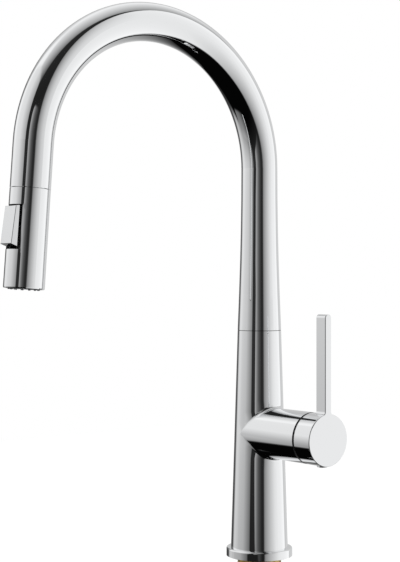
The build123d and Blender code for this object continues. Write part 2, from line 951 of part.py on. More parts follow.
def stem():
    """Lever of the cartridge at rest, leaning up from its pin."""
    slot_half = stem_slot_width / 2
    half = stem_width / 2
    bar = block((-half, half), (-slot_half, slot_half), (stem_tail, stem_shoulder))
    square = block((-half, half), (-half, half), (stem_shoulder, stem_reach))
    bar += chamfer(square.edges().sort_by(Axis.Z)[-4:], edge_break)
    bar += rod(stem_neck_radius, -stem_ball_drop, stem_tail)
    bar += Pos(0, 0, -stem_ball_drop) * Sphere(stem_ball_radius)
    bar -= Rot(90, 0, 0) * Cylinder(stem_pin_radius + running_gap, 2 * stem_width)
    return valve_place * stem_place * bar


def cartridge_body():
    groove_end = seal_groove_start + seal_groove_height
    shell = turned(
        (cartridge_bore_radius, fixed_disc_start),
        (cartridge_radius, fixed_disc_start),
        (cartridge_radius, seal_groove_start),
        (seal_groove_radius, seal_groove_start),
        (seal_groove_radius, groove_end),
        (cartridge_radius, groove_end),
        (cartridge_radius, cartridge_top),
        (rotor_neck_radius + rotor_neck_gap, cartridge_top),
        (rotor_neck_radius + rotor_neck_gap, cartridge_top - cartridge_top_wall),
        (cartridge_bore_radius, cartridge_top - cartridge_top_wall),
    )
    return valve_place * shell


def cartridge_oring():
    start = seal_groove_start + slip_gap
    end = seal_groove_start + seal_groove_height - slip_gap
    return valve_place * tube(seal_groove_radius + running_gap, cartridge_radius + running_gap, start, end)


def cartridge_nut():
    inner = cartridge_radius + slip_gap
    start = nut_thread_start + nut_end_gap
    nut = turned(
        (inner, start),
        (nut_thread_radius, start),
        (nut_thread_radius, bonnet_seat),
        (nut_opening, bonnet_seat),
        (nut_opening, cartridge_top),
        (inner, cartridge_top),
    )
    half = spanner_slot_width / 2
    reach = (nut_opening - overcut, spanner_slot_end)
    notch = block((-half, half), reach, (bonnet_seat - spanner_slot_depth, bonnet_seat))
    for turn in (0, 90, 180, 270):
        nut -= Rot(0, 0, turn) * notch
    return valve_place * nut


def bonnet():
    """Dome whose rim stands on the barrel's end and whose skirt goes into its mouth."""
    lip = bonnet_opening + bonnet_lip_width
    lip_height = dome_height(dome_radius, lip)
    skirt_end = bonnet_seat + rest_gap
    straight = path_edges(
        (lip, lip_height),
        (bonnet_opening, lip_height - bonnet_lip_depth),
        (bonnet_opening, skirt_end),
        (bonnet_skirt_radius, skirt_end),
        (bonnet_skirt_radius, barrel_end),
        (bonnet_rim_radius, barrel_end),
        (bonnet_rim_radius, barrel_end + bonnet_rim_height),
    )
    return valve_place * turned_edges(dome_arc(dome_radius, bonnet_rim_radius, lip), *straight)


# Handle, drawn in the valve barrel's frame
def lever_plate():
    """Front of the hub and the flat lever that rises from it, in one outline."""
    bar = Pos(lever_top / 2, 0) * Rectangle(lever_top, lever_width)
    outline = fillet(bar.vertices().sort_by(Axis.X)[-2:], lever_top_rounding) + Circle(barrel_radius)
    feet = [corner for corner in outline.vertices() if abs(corner.X - barrel_radius) < lever_foot_fillet]
    outline = fillet(feet, lever_foot_fillet)
    plate = Pos(0, 0, hub_face - lever_thickness) * extrude(outline, lever_thickness)
    return fillet(plate.faces().sort_by(Axis.Z)[-1].edges(), lever_edge_rounding)


def handle():
    solid = lever_plate() + rod(barrel_radius, hub_start, hub_face - lever_thickness)
    solid -= Pos(0, 0, tilt_pivot) * Sphere(hollow_radius)
    solid += stem_place * rod(hub_boss_radius, hub_boss_start, hub_boss_end)
    half = stem_width / 2 + running_gap
    solid -= stem_place * block((-half, half), (-half, half), (0, stem_reach + stem_end_gap))
    screw_way = Pos(0, 0, handle_screw_position) * Rot(0, -90, 0)
    solid -= screw_way * rod(handle_screw_radius + thread_gap, -stem_width / 2, barrel_radius + overcut)
    solid -= screw_way * rod(plug_radius + slip_gap, barrel_radius - plug_depth, barrel_radius + overcut)
    return valve_place * solid


def handle_screw():
    """Grub screw from below whose tip meets the stem."""
    offset = (handle_screw_position - tilt_pivot) * tan(radians(stem_lean))
    underside = offset - stem_width / 2 / cos(radians(stem_lean))
    head = barrel_radius - plug_depth - handle_screw_sink
    screw = rod(handle_screw_radius, screw_tip_gap - underside, head)
    screw -= Pos(0, 0, head) * extrude(RegularPolygon(handle_screw_socket, 6), -socket_depth)
    return valve_place * Pos(0, 0, handle_screw_position) * Rot(0, -90, 0) * screw


def handle_plug():
    plug = rod(plug_radius, barrel_radius - plug_depth, barrel_radius + plug_proud)
    plug = chamfer(plug.edges().sort_by(Axis.Z)[-1], edge_break)
    return valve_place * Pos(0, 0, handle_screw_position) * Rot(0, -90, 0) * plug


makers = (
    base_gasket,
    base_flange,
    threaded_shank,
    rubber_washer,
    steel_washer,
    mounting_nut,
    nut_screws,
    body_column,
    seam_washer,
    spout_grub_screw,
    spout_tube,
    spout_spigot,
    dock_bush,
    pull_hose,
    hose_coupling,
    docking_collar,
    hose_end_fitting,
    spray_housing,
    spray_core,
    inlet_filter,
    check_valve,
    rocker_button,
    rocker_pin,
    diverter_spool,
    spool_seals,
    aerator,
    nozzle_mat,
    spray_face,
    cartridge_base,
    base_seals,
    fixed_disc,
    moving_disc,
    disc_carrier,
    stem_rotor,
    stem_pin,
    stem,
    cartridge_body,
    cartridge_oring,
    cartridge_nut,
    bonnet,
    handle,
    handle_screw,
    handle_plug,
)
parts = {maker.__name__: maker() for maker in makers}
parts["lower_glide_ring"] = glide_ring(lower_ring_z)
parts["upper_glide_ring"] = glide_ring(upper_ring_z)

os.makedirs("parts", exist_ok=True)
for name, solid in parts.items():
    solid.label = name
    export_step(solid, f"parts/{name}.step")
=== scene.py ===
import json
from math import ceil, cos, pi, radians, sin
from typing import NamedTuple

import bmesh
import bpy
from bpy.props import FloatProperty, FloatVectorProperty, IntProperty, PointerProperty
from bpy.types import Operator, Panel, PropertyGroup
from mathutils import Euler, Matrix, Vector


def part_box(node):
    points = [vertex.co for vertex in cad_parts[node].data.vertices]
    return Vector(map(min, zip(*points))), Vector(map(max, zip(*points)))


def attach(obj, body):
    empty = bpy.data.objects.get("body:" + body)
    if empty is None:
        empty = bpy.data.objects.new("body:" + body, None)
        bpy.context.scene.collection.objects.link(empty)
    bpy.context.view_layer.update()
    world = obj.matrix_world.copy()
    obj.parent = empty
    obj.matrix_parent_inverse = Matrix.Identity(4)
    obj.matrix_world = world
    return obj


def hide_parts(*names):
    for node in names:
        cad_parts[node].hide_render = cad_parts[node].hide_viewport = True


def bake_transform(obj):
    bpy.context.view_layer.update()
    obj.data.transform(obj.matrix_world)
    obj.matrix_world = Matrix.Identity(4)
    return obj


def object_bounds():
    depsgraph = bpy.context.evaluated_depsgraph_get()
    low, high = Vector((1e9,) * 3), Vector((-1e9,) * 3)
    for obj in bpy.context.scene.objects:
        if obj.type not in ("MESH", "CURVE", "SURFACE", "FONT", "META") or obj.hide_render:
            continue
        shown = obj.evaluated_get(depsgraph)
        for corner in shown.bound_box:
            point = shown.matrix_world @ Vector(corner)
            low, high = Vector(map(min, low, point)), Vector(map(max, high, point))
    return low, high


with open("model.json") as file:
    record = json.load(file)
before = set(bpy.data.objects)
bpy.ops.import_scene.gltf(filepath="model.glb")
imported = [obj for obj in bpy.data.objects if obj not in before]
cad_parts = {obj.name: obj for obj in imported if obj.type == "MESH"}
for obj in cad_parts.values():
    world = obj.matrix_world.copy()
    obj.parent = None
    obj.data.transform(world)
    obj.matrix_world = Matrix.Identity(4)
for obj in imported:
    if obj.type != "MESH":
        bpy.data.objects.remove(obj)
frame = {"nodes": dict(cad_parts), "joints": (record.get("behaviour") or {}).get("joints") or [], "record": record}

bl_info = {
    "name": "Kitchen faucet",
    "version": (1, 0, 0),
    "blender": (4, 5, 0),
    "location": "3D View > Sidebar > Faucet",
    "description": "Gives a pull-down kitchen faucet its finishes, fine parts and studio",
    "category": "Object",
}

LOADED_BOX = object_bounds()
SLOTS = {part["node"]: part["material_slot"] for part in frame["record"]["subparts"]}
JOINTS = {joint["name"]: joint for joint in frame["joints"]}

# The spray head's own frame: its z runs down along the head from the seam, its y points away from the column.
HEAD_DOWN = Vector(JOINTS["head_pull_out"]["axis"]).normalized()
HEAD_SEAM = Vector((0.0, -0.205694, 0.275972))
HEAD_OUT = HEAD_DOWN.cross(Vector((1.0, 0.0, 0.0)))
HEAD_AXES = Matrix((Vector((1.0, 0.0, 0.0)), HEAD_OUT, HEAD_DOWN)).transposed()
HEAD_PLACE = Matrix.Translation(HEAD_SEAM) @ HEAD_AXES.to_4x4()


# Where the camera stands, and how far it looks down, in degrees: a program's fit to the photo's outlines.
CAMERA_PLACE = (0.77829, -0.67090, 0.21436)
CAMERA_DIP = 0.0667
CAMERA_FRAME = 36.0

KEY_PLACE = (0.2, -0.9, 1.5)
KEY_AIM = Vector((0, 0, 0.2))
KEY_SIZE = 1.2

FLOOR_GAP = 0.002
FLOOR_REACH = 2.5
FLOOR_LIFT = 0.36


# Colour and nodes

def linear(colour):
    """An sRGB hex colour as the linear RGBA that a shader takes."""
    parts = [int(colour[i:i + 2], 16) / 255 for i in (1, 3, 5)]
    return tuple(c / 12.92 if c <= 0.04045 else ((c + 0.055) / 1.055) ** 2.4 for c in parts) + (1.0,)


def node(tree, kind, inputs=None, **settings):
    """Adds a node with its properties, and sets or links its inputs. A node as input is its first output."""
    made = tree.nodes.new(kind)
    for name, value in settings.items():
        setattr(made, name, value)
    for key, value in (inputs or {}).items():
        if isinstance(value, bpy.types.Node):
            value = value.outputs[0]
        if isinstance(value, bpy.types.NodeSocket):
            tree.links.new(value, made.inputs[key])
        else:
            made.inputs[key].default_value = value
    return made


def set_stops(ramp, stops):
    """Places a colour ramp's stops, given as (position, colour)."""
    points = ramp.color_ramp.elements
    while len(points) < len(stops):
        points.new(0.5)
    for point, (position, colour) in zip(points, stops):
        point.position = position
        point.color = colour


# The studio's world

# Grey levels here are as the eye takes them, 1 for white, and this power turns them to light.
TONE_POWER = 2.2
BRIGHTEST_TONE = 1.1

# The dark room round the panels: how light it is at each height, in degrees above the horizon.
ROOM_TONES = ((-90, 0.05), (-30, 0.05), (0, 0.20), (30, 0.15), (90, 0.20))


class LitPanel(NamedTuple):
    """A soft box, screen or pale wall that the polished metal mirrors."""
    turn: float             # degrees from the camera's own direction, positive to its right
    rise: float             # degrees above the horizon
    roll: float             # degrees anticlockwise
    half_width: float       # this and the next four are as on a plane one metre away
    low: float
    high: float
    corner: float           # radius of its corners
    blur: float             # half the width of its soft edge
    tones: tuple            # at its left edge, its middle and its right edge
    at_top: float = 0.0     # what its tone gains by its top edge
    at_bottom: float = 0.0  # and by its bottom edge


# Places, sizes and most tones are rounded from a program's fit to the photo's reflections, and a few
# tones were then changed. Each panel hides what the ones before it show.
PANELS = {
    "ceiling": LitPanel(205, 60, 15, 2.8, -1.5, 1.4, 0.5, 0.15, (0.90, 1.00, 0.50), -0.40, -0.80),
    "right_wall": LitPanel(145, -10, 10, 1.3, -1.2, 1.0, 0.1, 0.05, (0.70, 0.85, 0.75), 0.0, -0.65),
    "left_wall": LitPanel(-130, -5, 0, 0.6, -0.4, 0.5, 0.1, 0.05, (0.30, 0.45, 1.00), 0.10, -0.25),
    "left_strip": LitPanel(-115, 25, -10, 0.3, -1.1, 0.7, 0.2, 0.15, (1.00, 1.00, 0.95), 0.0, -0.30),
    "left_screen": LitPanel(-75, 0, -5, 0.5, -0.8, -0.1, 0.1, 0.05, (0.60, 0.55, 0.35), 0.30, -0.15),
    "left_box": LitPanel(-75, 25, 5, 0.7, -0.9, 0.5, 0.15, 0.05, (0.95, 0.90, 0.65), 0.0, -0.30),
    "right_box": LitPanel(70, -15, -5, 1.3, -1.1, 2.4, 0.9, 0.15, (0.50, 0.95, 1.05)),
    "small_box": LitPanel(-5, 5, -15, 0.3, -0.3, 0.4, 0.1, 0.02, (0.70, 0.35, 0.15)),
}


def panel_axes(view_turn, panel):
    """A panel's middle, rightward and upward directions in the room."""
    turn, rise, roll = radians(view_turn + panel.turn), radians(panel.rise), radians(panel.roll)
    middle = Vector((sin(turn) * cos(rise), -cos(turn) * cos(rise), sin(rise)))
    right = Vector((cos(turn), sin(turn), 0.0))
    above = right.cross(middle)
    above = above if above.z > 0 else -above
    return middle, cos(roll) * right + sin(roll) * above, cos(roll) * above - sin(roll) * right


def panel_cover(tree, across, height, ahead, panel):
    """How much of a panel is seen each way: 1 on it, 0 off it, and between the two on its soft edge."""
    half_height = (panel.high - panel.low) / 2
    wide = node(tree, "ShaderNodeMath", {0: across}, operation="ABSOLUTE")
    wide = node(tree, "ShaderNodeMath", {0: wide, 1: panel.half_width - panel.corner}, operation="SUBTRACT")
    wide = node(tree, "ShaderNodeMath", {0: wide, 1: 0.0}, operation="MAXIMUM")
    tall = node(tree, "ShaderNodeMath", {0: height}, operation="ABSOLUTE")
    tall = node(tree, "ShaderNodeMath", {0: tall, 1: half_height - panel.corner}, operation="SUBTRACT")
    tall = node(tree, "ShaderNodeMath", {0: tall, 1: 0.0}, operation="MAXIMUM")
    outside = node(tree, "ShaderNodeCombineXYZ", {0: wide, 1: tall})
    outside = node(tree, "ShaderNodeVectorMath", {0: outside}, operation="LENGTH").outputs["Value"]
    edge = {0: outside, 1: panel.corner + panel.blur, 2: panel.corner - panel.blur}
    cover = node(tree, "ShaderNodeMapRange", edge, interpolation_type="SMOOTHSTEP")
    facing = node(tree, "ShaderNodeMapRange", {0: ahead, 1: 0.02, 2: 0.08}, interpolation_type="SMOOTHSTEP")
    return node(tree, "ShaderNodeMath", {0: cover, 1: facing}, operation="MULTIPLY")


def add_panel(tree, away, light, view_turn, panel):
    """Lays one lit panel over the tones that are there already."""
    middle, right, above = panel_axes(view_turn, panel)
    ahead = node(tree, "ShaderNodeVectorMath", {0: away, 1: middle}, operation="DOT_PRODUCT").outputs["Value"]
    depth = node(tree, "ShaderNodeMath", {0: ahead, 1: 0.02}, operation="MAXIMUM")
    along = node(tree, "ShaderNodeVectorMath", {0: away, 1: right}, operation="DOT_PRODUCT").outputs["Value"]
    across = node(tree, "ShaderNodeMath", {0: along, 1: depth}, operation="DIVIDE")
    high = node(tree, "ShaderNodeVectorMath", {0: away, 1: above}, operation="DOT_PRODUCT").outputs["Value"]
    height = node(tree, "ShaderNodeMath", {0: high, 1: depth}, operation="DIVIDE")
    height = node(tree, "ShaderNodeMath", {0: height, 1: (panel.high + panel.low) / 2}, operation="SUBTRACT")
    cover = panel_cover(tree, across, height, ahead, panel)

    left, centre, right_hand = panel.tones
    to_left = {0: across, 1: 0.0, 2: -panel.half_width, 3: 0.0, 4: left - centre}
    to_right = {0: across, 1: 0.0, 2: panel.half_width, 3: 0.0, 4: right_hand - centre}
    leftward = node(tree, "ShaderNodeMapRange", to_left)
    rightward = node(tree, "ShaderNodeMapRange", to_right)
    tone = node(tree, "ShaderNodeMath", {0: leftward, 1: rightward}, operation="ADD")
    tone = node(tree, "ShaderNodeMath", {0: tone, 1: centre}, operation="ADD")
    half_height = (panel.high - panel.low) / 2
    upper = node(tree, "ShaderNodeMapRange", {0: height, 1: 0.0, 2: half_height, 3: 0.0, 4: panel.at_top})
    lower = node(tree, "ShaderNodeMapRange", {0: height, 1: 0.0, 2: -half_height, 3: 0.0, 4: panel.at_bottom})
    tone = node(tree, "ShaderNodeMath", {0: tone, 1: upper}, operation="ADD")
    tone = node(tree, "ShaderNodeMath", {0: tone, 1: lower}, operation="ADD")
    tone = node(tree, "ShaderNodeClamp", {0: tone, 1: 0.0, 2: BRIGHTEST_TONE})
    return node(tree, "ShaderNodeMix", {0: cover, 2: light, 3: tone})


def studio_world(settings):
    """White to the camera, plain white to matt surfaces, and the lit panels to polished metal."""
    world = bpy.data.worlds.new("Studio")
    bpy.context.scene.world = world
    world.use_nodes = True
    tree = world.node_tree
    tree.nodes.clear()
    away = node(tree, "ShaderNodeTexCoord")
    height = node(tree, "ShaderNodeSeparateXYZ", {0: away.outputs["Generated"]}).outputs["Z"]
    rise = node(tree, "ShaderNodeMath", {0: height}, operation="ARCSINE")
    place = node(tree, "ShaderNodeMapRange", {0: rise, 1: radians(-90), 2: radians(90)})
    light = node(tree, "ShaderNodeValToRGB", {0: place})
    set_stops(light, [((angle + 90) / 180, (tone,) * 3 + (1.0,)) for angle, tone in ROOM_TONES])
    for panel in PANELS.values():
        light = add_panel(tree, away.outputs["Generated"], light, settings.view_turn, panel)
    light = node(tree, "ShaderNodeMath", {0: light, 1: TONE_POWER}, operation="POWER")

    ray = node(tree, "ShaderNodeLightPath")
    studio = node(tree, "ShaderNodeBackground", {"Color": light, "Strength": settings.studio_level})
    plain = node(tree, "ShaderNodeBackground", {"Color": (1, 1, 1, 1), "Strength": settings.fill_level})
    seen = node(tree, "ShaderNodeBackground", {"Color": (1, 1, 1, 1), "Strength": 1.0})
    by_gloss = node(tree, "ShaderNodeMixShader", {0: ray.outputs["Is Glossy Ray"], 1: plain, 2: studio})
    by_camera = node(tree, "ShaderNodeMixShader", {0: ray.outputs["Is Camera Ray"], 1: by_gloss, 2: seen})
    node(tree, "ShaderNodeOutputWorld", {0: by_camera})


# Materials

def new_material(name):
    """An empty material and the tree to fill."""
    made = bpy.data.materials.new(name)
    made.use_nodes = True
    made.node_tree.nodes.clear()
    return made, made.node_tree


def plated(name, colour, sharp, soft, waviness):
    """A bright plate whose gloss varies between two roughness values and whose surface waves gently."""
    made, tree = new_material(name)
    place = node(tree, "ShaderNodeTexCoord").outputs["Object"]
    # the buffing wheel leaves patches a centimetre or two across that are a shade less sharp
    patches = node(tree, "ShaderNodeTexNoise", {"Vector": place, "Scale": 70.0, "Detail": 3.0})
    # hairlines of the last wheel, 0.05 mm wide in life, drawn 0.25 mm wide so that a close view shows them
    stretched = node(tree, "ShaderNodeMapping", {"Vector": place, "Scale": (4000.0, 4000.0, 120.0)})
    hairlines = node(tree, "ShaderNodeTexNoise", {"Vector": stretched, "Scale": 1.0, "Detail": 2.0})
    gloss = node(tree, "ShaderNodeMath", {0: patches, 1: hairlines}, operation="ADD")
    gloss = node(tree, "ShaderNodeMapRange", {0: gloss, 1: 0.7, 2: 1.3, 3: sharp, 4: soft})
    # what lies under the plate is never dead flat: waves 12 mm long and a few thousandths of a mm high
    waves = node(tree, "ShaderNodeTexNoise", {"Vector": place, "Scale": 80.0, "Detail": 1.0})
    relief = node(tree, "ShaderNodeBump", {"Strength": waviness, "Distance": 0.00002, "Height": waves})
    shader = node(tree, "ShaderNodeBsdfPrincipled", {
        "Base Color": tuple(colour) + (1.0,), "Metallic": 1.0, "Roughness": gloss, "Normal": relief})
    node(tree, "ShaderNodeOutputMaterial", {0: shader})
    return made


def chromium_on_brass(settings):
    """Brass buffed and plated with nickel and chromium: a neutral mirror, a touch cooler than silver."""
    return plated("Chromium plate on buffed brass", settings.chrome_colour, sharp=settings.chrome_sharp,
                  soft=settings.chrome_soft, waviness=0.12)


def chromium_on_plastic(settings):
    """Moulded ABS plated with chromium: the same mirror, but a little greyer, softer and wavier."""
    return plated("Chromium plate on moulded ABS", settings.button_colour, sharp=settings.chrome_soft,
                  soft=2.5 * settings.chrome_soft, waviness=0.8)


def turned_brass(settings):
    """Brass bar turned on a lathe: warm yellow with fine bright rings and faint brown tarnish."""
    made, tree = new_material("Brass turned")
    place = node(tree, "ShaderNodeTexCoord").outputs["Object"]
    # tool marks 0.15 mm apart in life, drawn 0.4 mm apart
    rings = node(tree, "ShaderNodeMapping", {"Vector": place, "Scale": (60.0, 60.0, 2500.0)})
    rings = node(tree, "ShaderNodeTexNoise", {"Vector": rings, "Scale": 1.0, "Detail": 2.0})
    cloudy = {"Vector": place, "Scale": 180.0, "Detail": 5.0, "Roughness": 0.6}
    tarnish = node(tree, "ShaderNodeTexNoise", cloudy)
    colour = node(tree, "ShaderNodeValToRGB", {0: tarnish})
    set_stops(colour, [(0.30, linear("#c9a766")), (0.60, tuple(settings.brass_colour) + (1.0,))])
    gloss = node(tree, "ShaderNodeMapRange", {0: rings, 1: 0.3, 2: 0.7, 3: 0.22, 4: 0.42})
    relief = node(tree, "ShaderNodeBump", {"Strength": 0.5, "Distance": 0.00005, "Height": rings})
    shader = node(tree, "ShaderNodeBsdfPrincipled", {
        "Base Color": colour, "Metallic": 1.0, "Roughness": gloss, "Normal": relief})
    node(tree, "ShaderNodeOutputMaterial", {0: shader})
    return made


def zinc_plated_steel():
    """Steel with a bright zinc plate: bluish grey, cloudy, with a faint crystal grain."""
    made, tree = new_material("Steel zinc plated")
    place = node(tree, "ShaderNodeTexCoord").outputs["Object"]
    clouds = node(tree, "ShaderNodeTexNoise", {"Vector": place, "Scale": 220.0, "Detail": 4.0})
    # crystals of the plate, 0.1 mm in life, drawn 0.6 mm
    grain = node(tree, "ShaderNodeTexVoronoi", {"Vector": place, "Scale": 1700.0})
    colour = node(tree, "ShaderNodeValToRGB", {0: clouds})
    set_stops(colour, [(0.35, linear("#a7adb3")), (0.65, linear("#c6c8c9"))])
    gloss = node(tree, "ShaderNodeMapRange", {0: grain, 1: 0.0, 2: 1.0, 3: 0.30, 4: 0.48})
    relief = node(tree, "ShaderNodeBump", {"Strength": 0.3, "Distance": 0.00003, "Height": grain})
    shader = node(tree, "ShaderNodeBsdfPrincipled", {
        "Base Color": colour, "Metallic": 1.0, "Roughness": gloss, "Normal": relief})
    node(tree, "ShaderNodeOutputMaterial", {0: shader})
    return made


def drawn_stainless():
    """Stainless steel wire and bar, drawn: clean grey with fine lines along its length."""
    made, tree = new_material("Stainless steel drawn")
    place = node(tree, "ShaderNodeTexCoord").outputs["Object"]
    # draw lines 0.05 mm apart in life, drawn 0.2 mm apart
    lines = node(tree, "ShaderNodeMapping", {"Vector": place, "Scale": (5000.0, 5000.0, 90.0)})
    lines = node(tree, "ShaderNodeTexNoise", {"Vector": lines, "Scale": 1.0, "Detail": 2.0})
    colour = node(tree, "ShaderNodeValToRGB", {0: lines})
    set_stops(colour, [(0.3, linear("#b1b0ad")), (0.7, linear("#cfcecb"))])
    gloss = node(tree, "ShaderNodeMapRange", {0: lines, 1: 0.3, 2: 0.7, 3: 0.18, 4: 0.32})
    shader = node(tree, "ShaderNodeBsdfPrincipled", {
        "Base Color": colour, "Metallic": 1.0, "Roughness": gloss})
    node(tree, "ShaderNodeOutputMaterial", {0: shader})
    return made


def moulded_rubber():
    """Black EPDM rubber from a mould: soft black with a bloom of paler dust and a fine grain."""
    made, tree = new_material("EPDM rubber moulded")
    place = node(tree, "ShaderNodeTexCoord").outputs["Object"]
    dusty = {"Vector": place, "Scale": 260.0, "Detail": 6.0, "Roughness": 0.65}
    bloom = node(tree, "ShaderNodeTexNoise", dusty)
    # the mould's grain, 0.05 mm in life, drawn 0.3 mm
    grain = node(tree, "ShaderNodeTexNoise", {"Vector": place, "Scale": 3300.0, "Detail": 2.0})
    colour = node(tree, "ShaderNodeValToRGB", {0: bloom})
    set_stops(colour, [(0.40, linear("#161617")), (0.72, linear("#2b2b2c"))])
    gloss = node(tree, "ShaderNodeMapRange", {0: bloom, 1: 0.3, 2: 0.7, 3: 0.55, 4: 0.75})
    relief = node(tree, "ShaderNodeBump", {"Strength": 0.4, "Distance": 0.00006, "Height": grain})
    shader = node(tree, "ShaderNodeBsdfPrincipled", {
        "Base Color": colour, "Roughness": gloss, "IOR": 1.52, "Normal": relief})
    node(tree, "ShaderNodeOutputMaterial", {0: shader})
    return made


def moulded_nylon():
    """Black glass-filled nylon from a spark-eroded mould: deep black, satin, with a fine pebble."""
    made, tree = new_material("Nylon glass filled moulded")
    place = node(tree, "ShaderNodeTexCoord").outputs["Object"]
    # the mould's pebble, 0.1 mm in life, drawn 0.35 mm; glass fibres show as short pale flecks
    pebble = node(tree, "ShaderNodeTexNoise", {"Vector": place, "Scale": 2900.0, "Detail": 3.0})
    lay = {"Vector": place, "Rotation": (0.6, 0.4, 0.9), "Scale": (900.0, 5200.0, 5200.0)}
    fibres = node(tree, "ShaderNodeMapping", lay)
    fibres = node(tree, "ShaderNodeTexNoise", {"Vector": fibres, "Scale": 1.0, "Detail": 1.0})
    colour = node(tree, "ShaderNodeValToRGB", {0: fibres})
    set_stops(colour, [(0.62, linear("#0d0d0e")), (0.80, linear("#242425"))])
    gloss = node(tree, "ShaderNodeMapRange", {0: pebble, 1: 0.3, 2: 0.7, 3: 0.42, 4: 0.60})
    relief = node(tree, "ShaderNodeBump", {"Strength": 0.35, "Distance": 0.00005, "Height": pebble})
    shader = node(tree, "ShaderNodeBsdfPrincipled", {
        "Base Color": colour, "Roughness": gloss, "IOR": 1.53, "Specular IOR Level": 0.35, "Normal": relief})
    node(tree, "ShaderNodeOutputMaterial", {0: shader})
    return made


def turned_acetal():
    """White acetal turned from bar: milky, slippery and faintly see-through, with soft tool rings."""
    made, tree = new_material("Acetal turned")
    place = node(tree, "ShaderNodeTexCoord").outputs["Object"]
    # tool marks 0.1 mm apart in life, drawn 0.4 mm apart
    rings = node(tree, "ShaderNodeMapping", {"Vector": place, "Scale": (40.0, 40.0, 2500.0)})
    rings = node(tree, "ShaderNodeTexNoise", {"Vector": rings, "Scale": 1.0, "Detail": 1.0})
    colour = node(tree, "ShaderNodeValToRGB", {0: rings})
    set_stops(colour, [(0.3, linear("#e6e6e1")), (0.7, linear("#f1f1ed"))])
    gloss = node(tree, "ShaderNodeMapRange", {0: rings, 1: 0.3, 2: 0.7, 3: 0.28, 4: 0.40})
    relief = node(tree, "ShaderNodeBump", {"Strength": 0.3, "Distance": 0.00003, "Height": rings})
    shader = node(tree, "ShaderNodeBsdfPrincipled", {
        "Base Color": colour, "Roughness": gloss, "IOR": 1.48, "Subsurface Weight": 0.15,
        "Subsurface Radius": (0.0015, 0.0014, 0.0012), "Normal": relief})
    node(tree, "ShaderNodeOutputMaterial", {0: shader})
    return made


def moulded_abs():
    """Grey ABS from a satin mould: even mid grey with a soft sheen and slight flow clouds."""
    made, tree = new_material("ABS moulded satin")
    place = node(tree, "ShaderNodeTexCoord").outputs["Object"]
    streaky = {"Vector": place, "Scale": 120.0, "Detail": 2.0, "Distortion": 0.8}
    flow = node(tree, "ShaderNodeTexNoise", streaky)
    # the mould's satin, 0.08 mm in life, drawn 0.3 mm
    satin = node(tree, "ShaderNodeTexNoise", {"Vector": place, "Scale": 3300.0, "Detail": 2.0})
    colour = node(tree, "ShaderNodeValToRGB", {0: flow})
    set_stops(colour, [(0.35, linear("#a3a5a7")), (0.65, linear("#b5b6b8"))])
    gloss = node(tree, "ShaderNodeMapRange", {0: satin, 1: 0.3, 2: 0.7, 3: 0.34, 4: 0.48})
    relief = node(tree, "ShaderNodeBump", {"Strength": 0.25, "Distance": 0.00004, "Height": satin})
    shader = node(tree, "ShaderNodeBsdfPrincipled", {
        "Base Color": colour, "Roughness": gloss, "IOR": 1.54, "Normal": relief})
    node(tree, "ShaderNodeOutputMaterial", {0: shader})
    return made


def moulded_silicone(settings):
    """Grey silicone rubber from a mould: matt, dusty and a little see-through."""
    made, tree = new_material("Silicone rubber moulded")
    place = node(tree, "ShaderNodeTexCoord").outputs["Object"]
    dusty = {"Vector": place, "Scale": 900.0, "Detail": 5.0, "Roughness": 0.6}
    dust = node(tree, "ShaderNodeTexNoise", dusty)
    colour = node(tree, "ShaderNodeValToRGB", {0: dust})
    set_stops(colour, [(0.35, tuple(settings.nozzle_colour) + (1.0,)), (0.75, linear("#737577"))])
    gloss = node(tree, "ShaderNodeMapRange", {0: dust, 1: 0.3, 2: 0.7, 3: 0.42, 4: 0.62})
    # grain of the mould, 0.03 mm in life, drawn 0.15 mm
    grain = node(tree, "ShaderNodeTexNoise", {"Vector": place, "Scale": 6500.0, "Detail": 1.0})
    relief = node(tree, "ShaderNodeBump", {"Strength": 0.25, "Distance": 0.00002, "Height": grain})
    shader = node(tree, "ShaderNodeBsdfPrincipled", {
        "Base Color": colour, "Roughness": gloss, "IOR": 1.41, "Subsurface Weight": 0.1,
        "Subsurface Radius": (0.0010, 0.0010, 0.0010), "Normal": relief})
    node(tree, "ShaderNodeOutputMaterial", {0: shader})
    return made


def lapped_alumina():
    """Alumina ceramic, fired and lapped flat: warm white, close-grained and almost glossy."""
    made, tree = new_material("Alumina lapped")
    place = node(tree, "ShaderNodeTexCoord").outputs["Object"]
    # pores and grains 0.02 mm across in life, drawn 0.15 mm
    grain = node(tree, "ShaderNodeTexNoise", {"Vector": place, "Scale": 6500.0, "Detail": 2.0})
    colour = node(tree, "ShaderNodeValToRGB", {0: grain})
    set_stops(colour, [(0.3, linear("#ece9e1")), (0.6, linear("#f5f3ee"))])
    gloss = node(tree, "ShaderNodeMapRange", {0: grain, 1: 0.3, 2: 0.7, 3: 0.12, 4: 0.26})
    shader = node(tree, "ShaderNodeBsdfPrincipled", {"Base Color": colour, "Roughness": gloss, "IOR": 1.76})
    node(tree, "ShaderNodeOutputMaterial", {0: shader})
    return made


